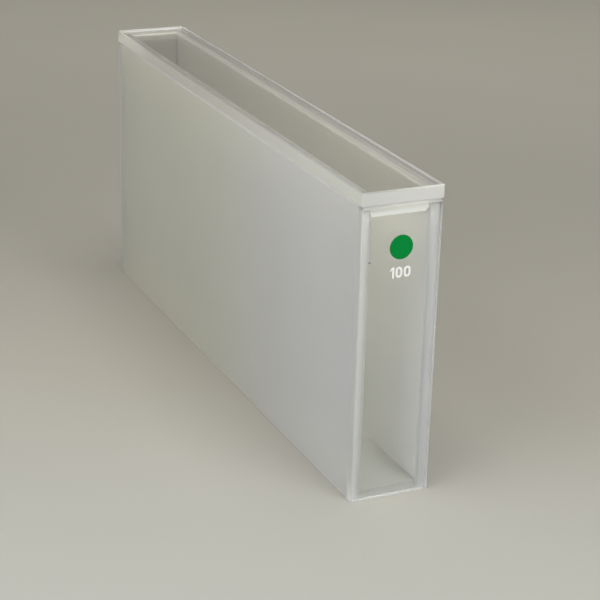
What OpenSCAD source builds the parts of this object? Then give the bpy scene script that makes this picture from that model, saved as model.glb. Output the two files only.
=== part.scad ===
// Long-path macro cuvette: an open-topped cell fused from five flat glass plates,
// with a loose two-plate lid. The clear end windows face -Y and +Y, so light crosses
// the cell along Y. The origin is the middle of the cell's underside, and +Z is up.

/* [Cell] */
// Outside length of the cell, along the light path
cell_length = 102.5; // [22.5:0.5:150]
// Outside width of the cell
cell_width = 12.5; // [10:0.1:30]
// Height of the cell without its lid
cell_height = 45; // [30:0.5:60]
// Thickness of each clear end window
window_t = 1.25; // [0.8:0.05:3]
// Thickness of each ground side wall
wall_t = 1.5; // [0.8:0.05:2.5]
// Thickness of the base plate
base_t = 1.25; // [0.8:0.05:4]
// Bevel ground along the cell's outer edges
cell_bevel = 0.15; // [0.05:0.05:0.4]
// Wider bevel ground round the outside of the rim, under the lid
rim_bevel = 0.4; // [0.1:0.05:0.5]

/* [Lid] */
// Thickness of the cover plate
cover_t = 2.1; // [1:0.1:5]
// How far the cover stands out past the cell on each side
cover_overhang = 0.15; // [0.1:0.05:1]
// Bevel ground along the cover's edges
cover_bevel = 0.2; // [0.05:0.05:0.4]
// Thickness of the locating plate under the cover
plug_t = 2; // [1:0.1:5]
// Gap between the locating plate and the cell on each side
plug_clearance = 0.2; // [0.1:0.05:0.6]
// Height of the bevel round the locating plate's lower edge
plug_bevel_height = 0.7; // [0.2:0.05:0.9]
// Depth of that bevel, inwards
plug_bevel_depth = 0.35; // [0.1:0.05:0.9]

/* [Printed marks] */
// Thickness of the fired ink
ink_t = 0.05; // [0.02:0.01:0.1]
// Diameter of the green dot
dot_d = 3.6; // [1:0.1:6]
// Bare glass between the cell's rim and the dot
dot_margin = 4.6; // [2.5:0.1:6]
// Bare glass between the dot and the numerals
mark_gap = 1.1; // [0.3:0.1:3]
// Height of the numerals
digit_height = 1.6; // [1.6:0.1:3]
// Width of each zero
zero_width = 1.05; // [0.9:0.05:1.5]
// Width of the stroke that the numerals are drawn with
digit_stroke = 0.3; // [0.1:0.05:0.4]
// How far the flag of the 1 reaches to the left
flag_reach = 0.36; // [0.1:0.02:0.6]
// Space between two numerals
digit_space = 0.22; // [0.1:0.02:0.6]

/* [Hidden] */
$fn = 64;

inner_length = cell_length - 2 * window_t;
inner_width = cell_width - 2 * wall_t;
window_face_y = -cell_length / 2;

cover_length = cell_length + 2 * cover_overhang;
cover_width = cell_width + 2 * cover_overhang;
plug_length = inner_length - 2 * plug_clearance;
plug_width = inner_width - 2 * plug_clearance;

dot_z = cell_height - dot_margin - dot_d / 2;
digits_z = dot_z - dot_d / 2 - mark_gap - digit_height / 2;
one_width = flag_reach + digit_stroke;
digit_pitch = zero_width + digit_space;
digits_width = one_width + 2 * digit_pitch;

// A plate's outline with its four corners cut off at 45 degrees, centred.
// upper is the cut at the two upper corners.
module bevelled_outline(size, bevel, upper) {
    x = size[0] / 2;
    y = size[1] / 2;
    polygon([
        [bevel - x, -y], [x - bevel, -y], [x, bevel - y], [x, y - upper],
        [x - upper, y], [upper - x, y], [-x, y - upper], [-x, bevel - y]
    ]);
}

// A flat plate standing on z = 0 with all twelve edges bevelled, the upper four by upper
module bevelled_plate(length, width, height, bevel, upper) {
    translate([0, 0, height / 2])
        intersection() {
            linear_extrude(height = height, center = true)
                bevelled_outline([width, length], bevel, bevel);
            rotate([90, 0, 0])
                linear_extrude(height = length, center = true)
                    bevelled_outline([width, height], bevel, upper);
            rotate([90, 0, 90])
                linear_extrude(height = width, center = true)
                    bevelled_outline([length, height], bevel, upper);
        }
}

// The whole cell as one solid block, which trims the outer edges of its plates
module cell_block() {
    bevelled_plate(cell_length, cell_width, cell_height, cell_bevel, rim_bevel);
}

// An end window, as wide as the cell: it closes the ends of the walls and the base
module end_window(side) {
    intersection() {
        cell_block();
        translate([-cell_width / 2, side > 0 ? inner_length / 2 : window_face_y, 0])
            cube([cell_width, window_t, cell_height]);
    }
}

// A side wall, between the two windows and down to the cell's underside
module side_wall(side) {
    intersection() {
        cell_block();
        translate([side > 0 ? inner_width / 2 : -cell_width / 2, -inner_length / 2, 0])
            cube([wall_t, inner_length, cell_height]);
    }
}

module front_window() {
    color("lightcyan") end_window(-1);
}

module rear_window() {
    color("lightcyan") end_window(1);
}

module left_wall() {
    color("gainsboro") side_wall(-1);
}

module right_wall() {
    color("gainsboro") side_wall(1);
}

// The base lies between the walls and the windows, flush with their lower edges
module base_plate() {
    color("silver")
        translate([-inner_width / 2, -inner_length / 2, 0])
            cube([inner_width, inner_length, base_t]);
}

// The cover rests on the cell's rim
module lid_cover() {
    color("whitesmoke")
        translate([0, 0, cell_height])
            bevelled_plate(cover_length, cover_width, cover_t, cover_bevel, cover_bevel);
}

// One side view of the locating plate, hanging from z = 0, with its lower corners bevelled
module plug_outline(width) {
    x = width / 2;
    polygon([
        [-x, 0], [-x, plug_bevel_height - plug_t], [plug_bevel_depth - x, -plug_t],
        [x - plug_bevel_depth, -plug_t], [x, plug_bevel_height - plug_t], [x, 0]
    ]);
}

// The locating plate is fused under the cover and drops into the cell's mouth
module lid_locating_plate() {
    color("ghostwhite")
        translate([0, 0, cell_height])
            intersection() {
                rotate([90, 0, 0])
                    linear_extrude(height = plug_length, center = true)
                        plug_outline(plug_width);
                rotate([90, 0, 90])
                    linear_extrude(height = plug_width, center = true)
                        plug_outline(plug_length);
            }
}

// Ink on the front window's outer face, drawn upright and centred on a height
module printed(height) {
    translate([0, window_face_y, height])
        rotate([90, 0, 0])
            linear_extrude(height = ink_t)
                children();
}

module green_dot() {
    color("seagreen")
        printed(dot_z)
            circle(d = dot_d);
}

// An upright oval with round ends, centred
module stadium(width, height) {
    run = height - width;
    square([width, run], center = true);
    for (end = [-1, 1])
        translate([0, end * run / 2])
            circle(d = width);
}

// A zero is a ring of one stroke's width
module zero() {
    difference() {
        stadium(zero_width, digit_height);
        stadium(zero_width - 2 * digit_stroke, digit_height - 2 * digit_stroke);
    }
}

// A one is an upright stroke with a flag that slopes down to its left
module one() {
    top = digit_height / 2;
    polygon([
        [flag_reach, -top], [one_width, -top], [one_width, top], [flag_reach, top],
        [0, top - flag_reach], [0, top - flag_reach - digit_stroke], [flag_reach, top - digit_stroke]
    ]);
}

// The path length between the windows, as plain numerals: 100
module path_numerals() {
    color("white")
        printed(digits_z)
            translate([-digits_width / 2, 0]) {
                one();
                for (i = [1, 2])
                    translate([one_width + i * digit_pitch - zero_width / 2, 0])
                        zero();
            }
}

front_window();
rear_window();
left_wall();
right_wall();
base_plate();
lid_cover();
lid_locating_plate();
green_dot();
path_numerals();
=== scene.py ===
"""A long-path glass cuvette with its lid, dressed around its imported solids."""

import math

import bmesh
import bpy
from mathutils import Matrix, Vector


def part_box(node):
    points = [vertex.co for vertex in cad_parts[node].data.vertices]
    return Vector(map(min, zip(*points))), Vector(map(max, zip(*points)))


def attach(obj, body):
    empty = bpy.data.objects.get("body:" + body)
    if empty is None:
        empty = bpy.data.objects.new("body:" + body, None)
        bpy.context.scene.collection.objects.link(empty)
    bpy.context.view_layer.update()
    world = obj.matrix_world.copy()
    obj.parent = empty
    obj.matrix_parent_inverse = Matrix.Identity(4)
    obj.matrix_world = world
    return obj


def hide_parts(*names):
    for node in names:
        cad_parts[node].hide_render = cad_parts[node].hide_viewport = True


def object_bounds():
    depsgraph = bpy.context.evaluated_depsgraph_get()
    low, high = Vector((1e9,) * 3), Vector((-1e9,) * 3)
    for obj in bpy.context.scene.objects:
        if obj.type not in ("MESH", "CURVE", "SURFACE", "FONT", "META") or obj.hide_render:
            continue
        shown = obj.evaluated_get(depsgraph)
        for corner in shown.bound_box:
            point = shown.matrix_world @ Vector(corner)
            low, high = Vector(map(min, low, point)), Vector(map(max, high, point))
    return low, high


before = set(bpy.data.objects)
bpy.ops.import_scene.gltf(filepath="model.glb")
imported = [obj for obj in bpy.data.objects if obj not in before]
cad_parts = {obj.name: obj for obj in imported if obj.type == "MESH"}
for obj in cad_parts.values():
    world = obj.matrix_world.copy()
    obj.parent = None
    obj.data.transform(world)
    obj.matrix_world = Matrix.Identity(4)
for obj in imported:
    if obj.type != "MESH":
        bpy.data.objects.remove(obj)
cad_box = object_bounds()


# ---------------------------------------------------------------------------
# Side walls. Two long plates of fused silica, sawn from one sheet and ground
# matt with fine grit on every face, so that no stray light gets through them.
# Their ends are fused to the windows.
# ---------------------------------------------------------------------------

MM = 0.001


def srgb(text):
    """A colour written as six hex digits, as the linear numbers that shaders take."""
    parts = [int(text[i:i + 2], 16) / 255 for i in (0, 2, 4)]
    return [c / 12.92 if c <= 0.04045 else ((c + 0.055) / 1.055) ** 2.4 for c in parts] + [1.0]


def add(tree, kind, settings=None, **inputs):
    """Adds one node. settings are its properties; inputs are values, or sockets to link, by socket name,
    or by _ and number where names repeat."""
    node = tree.nodes.new(kind)
    for key, value in (settings or {}).items():
        setattr(node, key, value)
    for key, value in inputs.items():
        socket = node.inputs[int(key[1:])] if key[1:].isdigit() else node.inputs[key.replace("_", " ")]
        if isinstance(value, bpy.types.NodeSocket):
            tree.links.new(value, socket)
        else:
            socket.default_value = value
    return node


def set_stops(ramp, stops):
    """Gives a colour ramp its stops, each a place from 0 to 1 and a hex colour, in order."""
    while len(ramp.elements) < len(stops):
        ramp.elements.new(1.0)
    for element, (position, colour) in zip(ramp.elements, stops):
        element.position, element.color = position, srgb(colour)


def new_material(name):
    """A material with nothing in it yet, and its node tree."""
    material = bpy.data.materials.new(name)
    material.use_nodes = True
    material.node_tree.nodes.clear()
    return material, material.node_tree


def paint_shade_by_place(tree, tone, place, stops):
    """Paints light and shade: multiplies a tone by shades that change with a place.
    stops has pairs of a place and a hex colour.
    """
    first, last = stops[0][0], stops[-1][0]
    reach = add(tree, "ShaderNodeMapRange", _0=place, _1=first, _2=last)
    shades = add(tree, "ShaderNodeValToRGB", Fac=reach.outputs["Result"])
    set_stops(shades.color_ramp, [((p - first) / (last - first), shade) for p, shade in stops])
    return add(tree, "ShaderNodeMix", {"data_type": "RGBA", "blend_type": "MULTIPLY"},
               _0=1.0, _6=tone, _7=shades.outputs["Color"]).outputs["Result"]


# Fused silica lapped with loose grit. The pitted surface scatters the light that crosses it, so the
# plate is milky and shows only a soft tone of what is behind it. The pits are about 0.03 mm across,
# and they're drawn at 0.25 mm, so that they show as a faint grain. A plate also carries light inside
# it, in from its lit edges and out through the pits. The shader doesn't follow that light, so it,
# and how the lamps fall on each face, is painted into the tone by place: painted light and shade.
SILICA_IOR = 1.46
ground_roughness = 0.5
pit_size = 0.25 * MM
pit_depth = 0.02 * MM
cloud_size = 9.0 * MM


def ground_silica(name, pale, dim, through, across=(), axis="X", lit=(), drift=()):
    """Clouds from pale to dim, and lets through that share of the light. across has pairs of a place
    along axis and the shade painted there, as painted shade. lit has the bands of height that are painted
    towards a colour, as painted light and shade: where each starts, where it is full, and its colour.
    drift has pairs of a place along Y and the shade painted there, painted light and shade laid over
    the rest."""
    material, tree = new_material(name)
    place = add(tree, "ShaderNodeTexCoord").outputs["Object"]
    pits = add(tree, "ShaderNodeTexNoise", Vector=place, Scale=1 / pit_size, Detail=2.0)
    cloud = add(tree, "ShaderNodeTexNoise", Vector=place, Scale=1 / cloud_size, Detail=3.0)
    tone = add(tree, "ShaderNodeMix", {"data_type": "RGBA"},
               _0=cloud.outputs["Fac"], _6=srgb(dim), _7=srgb(pale)).outputs["Result"]
    axes = add(tree, "ShaderNodeSeparateXYZ", Vector=place)
    # painted shade by place along one axis
    if across:
        tone = paint_shade_by_place(tree, tone, axes.outputs[axis], across)
    # painted light and shade in bands of height
    for start, full, colour in lit:
        rise = add(tree, "ShaderNodeMapRange", _0=axes.outputs["Z"], _1=start, _2=full)
        glow = add(tree, "ShaderNodeMath", {"operation": "POWER"}, _0=rise.outputs["Result"], _1=2.0)
        tone = add(tree, "ShaderNodeMix", {"data_type": "RGBA"},
                   _0=glow.outputs["Value"], _6=tone, _7=srgb(colour)).outputs["Result"]
    # painted light and shade along Y, laid over the rest
    if drift:
        tone = paint_shade_by_place(tree, tone, axes.outputs["Y"], drift)
    bump = add(tree, "ShaderNodeBump", Strength=0.3, Distance=pit_depth, Height=pits.outputs["Fac"])
    glass = add(tree, "ShaderNodeBsdfPrincipled", Base_Color=tone, Roughness=ground_roughness,
                IOR=SILICA_IOR, Transmission_Weight=through, Normal=bump.outputs["Normal"])
    add(tree, "ShaderNodeOutputMaterial", Surface=glass.outputs["BSDF"])
    return material


(inner_x, _, _), (outer_x, end_y, rim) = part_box("right_wall")
middle_x = (outer_x + inner_x) / 2

# The outer face is painted palest towards the rim, the foot and the marked end, as painted light for
# the light that gets in at the plate's edges, and painted a little darker and yellower towards the
# plain end, as painted shade.
FACE = ground_silica("fine_ground_fused_silica", "f5f6f9", "eff0f3", 0.65,
                     lit=((rim - 12 * MM, rim, "ffffff"), (14 * MM, 0.0, "ffffff")),
                     drift=((-end_y, "ffffff"), (-28 * MM, "fbfbfb"), (0.0, "f9f9ef"),
                            (15 * MM, "f9f9ec"), (end_y, "fffef1")))

# The inner face has the same pits. It looks whiter through the clear window and lid, with a band
# painted lighter just under the rim as painted light, and it is painted greyer just behind the marked
# window, as painted shade where the least light falls on it.
INNER = ground_silica("fine_ground_inside", "fefefa", "f9f9f5", 0.28, axis="Y",
                      across=((-end_y, "efeff3"), (-end_y + 12 * MM, "fcfcfc"), (15 * MM, "ffffff"),
                              (end_y, "ffffff")),
                      lit=((rim - 3 * MM, rim - 1.5 * MM, "ffffff"),))

# The fused end shows through the window as a milky upright band. Its tone is painted darker towards
# the inner edge of each band and whitest under the rim, as painted light and shade.
JOINT = ground_silica("fused_joint", "fefefe", "f9f9f9", 0.45,
                      across=((-outer_x, "d3d3d3"), (-middle_x, "dadada"), (-inner_x, "c8c8c8"),
                              (inner_x, "b7b7ba"), (middle_x, "cacacd"), (outer_x, "f0f0f3")),
                      lit=((rim - 18 * MM, rim, "dedede"), (rim - 5 * MM, rim, "f8f8f8")))

# The rim lies under the lid. It shows through the clear cover as a grey line that is painted darker
# towards its outer edge, as painted shade, so that it is lighter inwards.
RIM = ground_silica("ground_rim", "fefefc", "f8f8f6", 0.76,
                    across=((-outer_x, "b0b0b0"), (-middle_x, "dadada"), (-inner_x, "fbfbfb"),
                            (inner_x, "fbfbfb"), (middle_x, "dadada"), (outer_x, "b0b0b0")))

# The bevel round the rim is painted a little greyer than the face below it, as painted shade under
# the cover's edge, and shows as a soft grey strip just under the cover.
RIM_BEVEL = ground_silica("ground_rim_bevel", "f2f2f0", "ededeb", 0.69)

edge_bevel = 0.08 * MM  # the fine bevel along the cell's other outer edges
rim_bevel = 0.4 * MM    # the wider bevel round the outside of the rim
seam = 0.02 * MM        # the visible plates stop this far short of each other where they meet

SIDES = {"-x": (0, 0), "+x": (0, 1), "-y": (1, 0), "+y": (1, 1), "-z": (2, 0), "+z": (2, 1)}


def side_of(normal):
    """The name of the side that a face looks to, or None for a bevel."""
    for name, (axis, high) in SIDES.items():
        if normal[axis] * (1 if high else -1) > 0.99:
            return name
    return None


def finish_sides(shape, finishes, other, rim_finish=None):
    """Sets each face's material slot: finishes has a number for a side, rim_finish is for the bevels
    round the top, and other is for the rest."""
    shape.normal_update()
    for face in shape.faces:
        side = side_of(face.normal)
        at_rim = rim_finish is not None and side is None and face.normal.z > 0.5
        face.material_index = rim_finish if at_rim else finishes.get(side, other)


def glass_plate(name, node, materials, finishes, outer, short,
                bevel=edge_bevel, upper=rim_bevel, lower=edge_bevel, rim_finish=None):
    """A flat plate in a node's box. Edges between two outer sides are bevelled: upper and lower are for
    the edges round the top and the underside. Short sides stop a seam short of their neighbour."""
    corners = [list(c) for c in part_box(node)]
    for side in short:
        axis, high = SIDES[side]
        corners[high][axis] += seam * (-1 if high else 1)
    lowest, highest = (Vector(c) for c in corners)
    fill = Matrix.Translation((lowest + highest) / 2) @ Matrix.Diagonal((*(highest - lowest), 1.0))
    shape = bmesh.new()
    bmesh.ops.create_cube(shape, size=1.0)
    bmesh.ops.transform(shape, verts=shape.verts, matrix=fill)
    for level, offset in (("+z", upper), ("-z", lower), (None, bevel)):
        shape.normal_update()
        pairs = {e: [side_of(f.normal) for f in e.link_faces] for e in shape.edges}
        edges = [e for e, pair in pairs.items()
                 if set(pair) <= set(outer) and (level is None or level in pair)]
        if edges:
            bmesh.ops.bevel(shape, geom=edges, offset=offset, segments=1, profile=0.5, affect="EDGES")
    finish_sides(shape, finishes, 0, rim_finish)
    piece = new_piece(name, shape, materials)
    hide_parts(node)
    return piece


def new_piece(name, shape, materials):
    """Turns a finished shape into a piece that rides on the cell."""
    data = bpy.data.meshes.new(name)
    shape.to_mesh(data)
    shape.free()
    for material in materials:
        data.materials.append(material)
    piece = bpy.data.objects.new(name, data)
    bpy.context.scene.collection.objects.link(piece)
    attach(piece, "root")
    return piece


for side, outside, inside in (("left", "-x", "+x"), ("right", "+x", "-x")):
    wall = glass_plate(side + "_side_wall", side + "_wall", (FACE, JOINT, INNER, RIM, RIM_BEVEL),
                       {"-y": 1, "+y": 1, inside: 2, "+z": 3},
                       outer=(outside, "-z", "+z"), short=("-y", "+y", "+z"), lower=seam, rim_finish=4)


# ---------------------------------------------------------------------------
# Base plate. A strip of the same ground silica that lies between the walls and
# the windows, and is fused to them all round.
# ---------------------------------------------------------------------------

window_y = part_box("base_plate")[1][1]
shaded_end = 16 * MM

# The strip is as milky as the walls, and painted greyer at its two ends, as painted shade where they
# lie furthest from the light.
BASE_FACE = ground_silica("ground_base_strip", "fefefa", "f8f8f4", 0.64, axis="Y",
                          across=((-window_y, "dadada"), (-window_y + shaded_end, "ffffff"),
                                  (window_y - shaded_end, "ffffff"), (window_y, "dadada")))

# Its fused end shows through the window's foot as a duller line, because most light goes through it.
BASE_END = ground_silica("fused_base_end", "f0f0ed", "ebebe7", 0.76)

base = glass_plate("base_strip", "base_plate", (BASE_FACE, BASE_END), {"-y": 1, "+y": 1}, outer=(),
                   short=("-x", "+x", "-y", "+y"))


# ---------------------------------------------------------------------------
# End windows. Thin plates as wide as the cell, polished on both large faces for
# the light beam and ground on their narrow edges, fused over the walls' ends.
# ---------------------------------------------------------------------------

# The same silica, polished with cerium oxide: clear, with mirror reflections that waver very slightly.
polish_roughness = 0.02
wave_depth = 0.02 * MM


def polished_silica(name, tint):
    """Clear glass in a faint tint. Lamp light goes straight through it, so it casts no hard shadow."""
    material, tree = new_material(name)
    place = add(tree, "ShaderNodeTexCoord").outputs["Object"]
    wave = add(tree, "ShaderNodeTexNoise", Vector=place, Scale=1 / cloud_size, Detail=1.0)
    bump = add(tree, "ShaderNodeBump", Strength=0.02, Distance=wave_depth, Height=wave.outputs["Fac"])
    glass = add(tree, "ShaderNodeBsdfPrincipled", Base_Color=srgb(tint), Roughness=polish_roughness,
                IOR=SILICA_IOR, Transmission_Weight=1.0, Normal=bump.outputs["Normal"])
    clear = add(tree, "ShaderNodeBsdfTransparent", Color=srgb(tint))
    lamp = add(tree, "ShaderNodeLightPath").outputs["Is Shadow Ray"]
    mix = add(tree, "ShaderNodeMixShader", _0=lamp, _1=glass.outputs["BSDF"], _2=clear.outputs["BSDF"])
    add(tree, "ShaderNodeOutputMaterial", Surface=mix.outputs["Shader"])
    return material


# The window is all but colourless. Its ground sides look pale. Its foot is painted a dull grey, as
# painted shade where it stands on the table, and its fine bevels are painted as thin grey lines, a
# painted shade, with painted light that makes them lighter near the rim.
CLEAR = polished_silica("polished_fused_silica", "fefffd")
WINDOW_EDGE = ground_silica("ground_window_edge", "ececea", "e6e6e4", 0.35)
WINDOW_FOOT = ground_silica("ground_window_foot", "b4b4b2", "aeaeac", 0.6)
WINDOW_BEVEL = ground_silica("ground_window_bevel", "dededc", "d8d8d6", 0.7,
                             lit=((rim - 12 * MM, rim - 4 * MM, "ffffff"),))

for end, facing in (("front", "-y"), ("rear", "+y")):
    window = glass_plate(end + "_window_pane", end + "_window",
                         (WINDOW_BEVEL, CLEAR, RIM, RIM_BEVEL, WINDOW_FOOT, WINDOW_EDGE),
                         {"-y": 1, "+y": 1, "+z": 2, "-z": 4, "-x": 5, "+x": 5},
                         outer=("-x", "+x", "-z", "+z", facing), short=("+z",), lower=seam, rim_finish=3)


# ---------------------------------------------------------------------------
# Seams. Where the plates were fused, a little glass ran out along the four inner
# corners between the walls and the windows, and set there as narrow milky beads.
# ---------------------------------------------------------------------------

bead = 0.3 * MM
bead_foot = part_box("base_plate")[1][2] + seam
bead_top = rim - 2.5 * MM

# The beads hold many fine bubbles, so they scatter light as the ground faces do. Their tone is painted
# grey, as painted shade in the inner corners.
BEAD = ground_silica("fused_seam_bead", "fefefc", "f8f8f6", 0.5,
                     across=((-inner_x, "d2d2d2"), (bead - inner_x, "c8c8c5"), (inner_x - bead, "d4d4d6"),
                             (inner_x, "c8c8cc")))

bead_shape = bmesh.new()
for x_way in (-1, 1):
    for y_way in (-1, 1):
        corner = Vector((x_way * (inner_x - seam), y_way * (window_y - seam), 0.0))
        outline = [corner, corner - Vector((x_way * bead, 0.0, 0.0)),
                   corner - Vector((0.0, y_way * bead, 0.0))]
        rings = [[bead_shape.verts.new(point + Vector((0.0, 0.0, z))) for point in outline]
                 for z in (bead_foot, bead_top)]
        for ring in rings:
            bead_shape.faces.new(ring)
        for i in range(3):
            bead_shape.faces.new((rings[0][i - 1], rings[0][i], rings[1][i], rings[1][i - 1]))
bmesh.ops.recalc_face_normals(bead_shape, faces=bead_shape.faces)
new_piece("seam_beads", bead_shape, (BEAD,))


# ---------------------------------------------------------------------------
# Printed marks. A round mark and the light path in millimetres, in enamel inks
# that are screen printed and fired on to the front window.
# ---------------------------------------------------------------------------

# Fired enamel is matt and dense, with a fine speckle from the screen's mesh.
screen_pitch = 0.12 * MM
ink_depth = 0.01 * MM


def enamel_ink(name, full, thin):
    """full is the colour where the ink lies thick, and thin where the mesh left less of it."""
    material, tree = new_material(name)
    place = add(tree, "ShaderNodeTexCoord").outputs["Object"]
    speckle = add(tree, "ShaderNodeTexNoise", Vector=place, Scale=1 / screen_pitch, Detail=2.0)
    tone = add(tree, "ShaderNodeMix", {"data_type": "RGBA"},
               _0=speckle.outputs["Fac"], _6=srgb(thin), _7=srgb(full))
    bump = add(tree, "ShaderNodeBump", Strength=0.2, Distance=ink_depth, Height=speckle.outputs["Fac"])
    ink = add(tree, "ShaderNodeBsdfPrincipled", Base_Color=tone.outputs["Result"], Roughness=0.6,
              Specular_IOR_Level=0.05, Normal=bump.outputs["Normal"])
    add(tree, "ShaderNodeOutputMaterial", Surface=ink.outputs["BSDF"])
    return material


for node, full, thin in (("green_dot", "048c3d", "06823a"), ("path_numerals", "fbfbf8", "f4f4f0")):
    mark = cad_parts[node].data
    mark.materials.clear()
    mark.materials.append(enamel_ink(node + "_enamel", full, thin))


# ---------------------------------------------------------------------------
# Speck. One grain of dirt, a little over a quarter of a millimetre long, that
# has dried on to the marked window's outer face, to the left of the marks.
# ---------------------------------------------------------------------------

speck_half_x, speck_half_y, speck_half_z = 0.16, 0.04, 0.12  # in millimetres
speck_place = Vector((-4.87 * MM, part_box("front_window")[0][1] - 0.02 * MM, 36.85 * MM))
crust_size = 0.1 * MM

# Dried dirt is matt and uneven, so it shows as one dull dot.
dirt, tree = new_material("dried_dirt")
place = add(tree, "ShaderNodeTexCoord").outputs["Object"]
crust = add(tree, "ShaderNodeTexNoise", Vector=place, Scale=1 / crust_size, Detail=2.0)
tone = add(tree, "ShaderNodeMix", {"data_type": "RGBA"},
           _0=crust.outputs["Fac"], _6=srgb("6e6c66"), _7=srgb("8a8880"))
matt = add(tree, "ShaderNodeBsdfPrincipled", Base_Color=tone.outputs["Result"], Roughness=0.9,
           Specular_IOR_Level=0.1)
add(tree, "ShaderNodeOutputMaterial", Surface=matt.outputs["BSDF"])

grain = bmesh.new()
bmesh.ops.create_icosphere(grain, subdivisions=2, radius=1.0)
for v in grain.verts:
    swell = 1.0 + 0.18 * math.sin(3.1 * v.co.x + 1.7 * v.co.z) * math.cos(2.3 * v.co.z)
    v.co = Vector((v.co.x * speck_half_x * swell, v.co.y * speck_half_y,
                   v.co.z * speck_half_z * swell)) * MM
    v.co += speck_place
new_piece("dirt_speck", grain, (dirt,))


# ---------------------------------------------------------------------------
# Lid. A cover plate lies on the cell's rim, and a locating plate fused under it
# drops into the mouth. Both are polished, and ground on their edges.
# ---------------------------------------------------------------------------

cover_bevel = 0.2 * MM
plug_bevel_depth = 0.35 * MM
plug_bevel_height = 0.7 * MM
cover_x, cover_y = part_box("lid_cover")[1][:2]
plug_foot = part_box("lid_locating_plate")[0][2]

# The lid's polished faces are clear like the windows, with a trace of warmth from their thickness.
LID_CLEAR = polished_silica("polished_lid_silica", "fdfcf8")

# Its edges are ground with a coarser wheel and catch more light than the cell's faces. The cover's
# ends are nearly opaque and shine white. Its left side and its bevels let more through, and are painted
# duller from the marked end to the plain one, as painted shade. Its right side is lighter, and so are
# its lower bevels, but for the last strip on the right, which is painted dark grey, as painted shade
# where it looks into the shade under the overhang.
COVER_END = ground_silica("ground_lid_end", "e3e3df", "dededa", 0.25)
COVER_EDGE = ground_silica("ground_lid_edge", "fbfbf9", "f6f6f3", 0.64,
                           drift=((-cover_y, "fdfff8"), (-37 * MM, "fbfcf5"), (-22 * MM, "f6f4f1"),
                                  (-6 * MM, "f1ede6"), (11 * MM, "ebe8e0"), (30 * MM, "e5e3da"),
                                  (cover_y, "d2d0c8")))
COVER_SIDE = ground_silica("ground_lid_side", "ffffff", "fafaf7", 0.53)
COVER_FOOT = ground_silica("ground_lid_lower_bevel", "ffffff", "fcfcfa", 0.3,
                           across=((-cover_x, "ffffff"), (cover_x - 0.5 * MM, "ffffff"),
                                   (cover_x - 0.2 * MM, "a0a0a0"), (cover_x, "a0a0a0")))

# The locating plate's long sides and its bevels are the whitest of all, and show through the clear
# glass as bright lines. Its long sides are painted a little greyer towards the top, and the bevels along
# them grey at the foot and lighter at their top edge, as painted light and shade. Its ends are softer,
# since half the light goes through them.
PLUG_EDGE = ground_silica("ground_plug_edge", "fbfbf8", "f6f6f2", 0.47)
PLUG_BEVEL = ground_silica("white_ground_bevel", "ffffff", "fcfcfa", 0.05)
PLUG_SIDE = ground_silica("white_ground_side", "ffffff", "fdfdfb", 0.02,
                          lit=((plug_foot, rim, "e4e4e2"),))
PLUG_SIDE_BEVEL = ground_silica("ground_side_bevel", "e2e2e0", "dcdcda", 0.1,
                                lit=((plug_foot, plug_foot + plug_bevel_height, "ffffff"),))

cover = glass_plate("lid_cover_plate", "lid_cover",
                    (COVER_EDGE, LID_CLEAR, COVER_END, COVER_FOOT, COVER_SIDE),
                    {"-z": 1, "+z": 1, "-y": 2, "+y": 2, "+x": 4},
                    outer=tuple(SIDES), short=(),
                    bevel=cover_bevel, upper=cover_bevel, lower=cover_bevel)
for face in cover.data.polygons:
    if side_of(face.normal) is None and face.normal.z < -0.5:
        face.material_index = 3

plug = glass_plate("lid_locating_plate_bevelled", "lid_locating_plate",
                   (PLUG_EDGE, LID_CLEAR, PLUG_BEVEL, PLUG_SIDE, PLUG_SIDE_BEVEL), {},
                   outer=(), short=("+z",))
shape = bmesh.new()
shape.from_mesh(plug.data)
underside = min(v.co.z for v in shape.verts)
lower_edges = [e for e in shape.edges if all(v.co.z == underside for v in e.verts)]
bmesh.ops.bevel(shape, geom=lower_edges, offset=plug_bevel_depth, segments=1, profile=0.5, affect="EDGES")
for v in shape.verts:
    if abs(v.co.z - underside - plug_bevel_depth) < seam:
        v.co.z = underside + plug_bevel_height
finish_sides(shape, {"-z": 1, "+z": 1, "-x": 3, "+x": 3, "-y": 0, "+y": 0}, 2)
for face in shape.faces:
    if side_of(face.normal) is None and abs(face.normal.x) > 0.5:
        face.material_index = 4
shape.to_mesh(plug.data)
shape.free()


# ---------------------------------------------------------------------------
# Table, light and camera. The cell stands on a broad sheet of matt card. Softboxes
# light it from its marked end, from its left and from overhead, and the camera
# looks a little down on the marked end.
# ---------------------------------------------------------------------------

floor_drop = 0.02 * MM
floor_half = 2.5
floor_data = bpy.data.meshes.new("table_top")
floor_data.from_pydata([(x * floor_half, y * floor_half, -floor_drop)
                        for x, y in ((-1, -1), (1, -1), (1, 1), (-1, 1))], [], [(0, 1, 2, 3)])
table_top = bpy.data.objects.new("table_top", floor_data)
bpy.context.scene.collection.objects.link(table_top)

# Uncoated card is matt, with a faint mottle from its pulp. Its tone is painted warmer behind the cell,
# and lighter far off, where less light reaches it, as painted light and shade.
mottle_size = 40 * MM
painted_light_way = (0.5, 0.87, 0.0)
painted_light_start, painted_light_end = -100 * MM, 300 * MM
card, tree = new_material("matt_card")
place = add(tree, "ShaderNodeTexCoord").outputs["Object"]
fibre = add(tree, "ShaderNodeTexNoise", Vector=place, Scale=1 / mottle_size, Detail=2.0)
mottle = add(tree, "ShaderNodeMix", {"data_type": "RGBA"},
             _0=fibre.outputs["Fac"], _6=srgb("f9f9f9"), _7=srgb("ffffff"))
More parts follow.
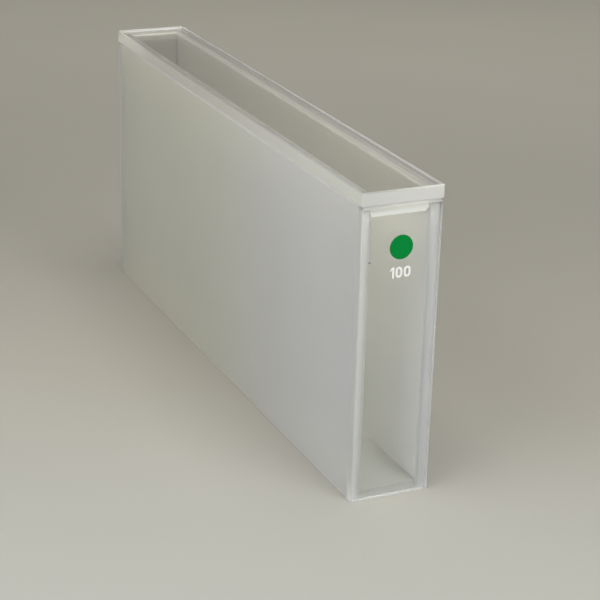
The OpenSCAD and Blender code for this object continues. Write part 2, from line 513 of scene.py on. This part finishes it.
# the ramp gives the card's tone with painted light and shade along one way across the table
reach = add(tree, "ShaderNodeVectorMath", {"operation": "DOT_PRODUCT"}, _0=place, _1=painted_light_way)
along = add(tree, "ShaderNodeMapRange", _0=reach.outputs["Value"], _1=painted_light_start, _2=painted_light_end)
card_tone_with_painted_light = add(tree, "ShaderNodeValToRGB", Fac=along.outputs["Result"])
card_tone_with_painted_light.color_ramp.interpolation = "EASE"
set_stops(card_tone_with_painted_light.color_ramp, ((0.05, "b5b5ad"), (0.25, "b6b2a7"), (0.42, "b9b5aa"), (0.98, "e6e1d1")))
tone = add(tree, "ShaderNodeMix", {"data_type": "RGBA", "blend_type": "MULTIPLY"},
           _0=1.0, _6=card_tone_with_painted_light.outputs["Color"], _7=mottle.outputs["Result"])
matt = add(tree, "ShaderNodeBsdfPrincipled", Base_Color=tone.outputs["Result"], Roughness=0.8,
           Specular_IOR_Level=0.2)
add(tree, "ShaderNodeOutputMaterial", Surface=matt.outputs["BSDF"])
floor_data.materials.append(card)

# A plain pale studio all round fills the shadows.
world = bpy.data.worlds.new("studio")
world.use_nodes = True
world.node_tree.nodes.clear()
sky = add(world.node_tree, "ShaderNodeBackground", Color=srgb("fbfbf8"), Strength=0.215)
add(world.node_tree, "ShaderNodeOutputWorld", Surface=sky.outputs["Background"])
bpy.context.scene.world = world

light_aim = Vector((0.0, -0.03, 0.0))


def softbox(name, place, size, power):
    """A white square softbox, turned to the cell, with its side in metres and its power in watts."""
    lamp = bpy.data.lights.new(name, "AREA")
    lamp.shape = "RECTANGLE"
    lamp.size = lamp.size_y = size
    lamp.energy = power
    holder = bpy.data.objects.new(name, lamp)
    holder.location = place
    holder.rotation_euler = (light_aim - Vector(place)).to_track_quat("-Z", "Y").to_euler()
    holder.visible_camera = False
    bpy.context.scene.collection.objects.link(holder)


softbox("right_front_softbox", (0.044, -0.266, 0.176), 0.2, 0.41)
softbox("left_softbox", (-0.19, -0.085, 0.158), 0.2, 0.285)
softbox("overhead_softbox", (0.0, -0.1, 0.45), 0.3, 0.77)

# The angles are those of the view: the azimuth and the height of the eye, and the small tilt of the
# frame. view_shift goes from the middle of the cell to the place that the camera is aimed at.
camera_azimuth = math.radians(-24.75)
camera_elevation = math.radians(21.35)
camera_roll = math.radians(1.67)
camera_distance = 296.4 * MM
lens_mm = 107.2
view_shift = Vector((5.30, -6.73, -9.95)) * MM

back = Vector((math.sin(camera_azimuth) * math.cos(camera_elevation),
               -math.cos(camera_azimuth) * math.cos(camera_elevation), math.sin(camera_elevation)))
camera_data = bpy.data.cameras.new("camera")
camera_data.lens = lens_mm
camera_data.sensor_width = 36.0
camera_data.clip_start = 0.01
camera_data.clip_end = 20.0
camera = bpy.data.objects.new("camera", camera_data)
camera.rotation_mode = "QUATERNION"
camera.location = (cad_box[0] + cad_box[1]) / 2 + view_shift + back * camera_distance
turn = Matrix.Rotation(camera_roll, 4, back)
camera.rotation_quaternion = turn.to_quaternion() @ (-back).to_track_quat("-Z", "Y")
bpy.context.scene.collection.objects.link(camera)
bpy.context.scene.camera = camera

bpy.context.scene.view_settings.view_transform = "Standard"
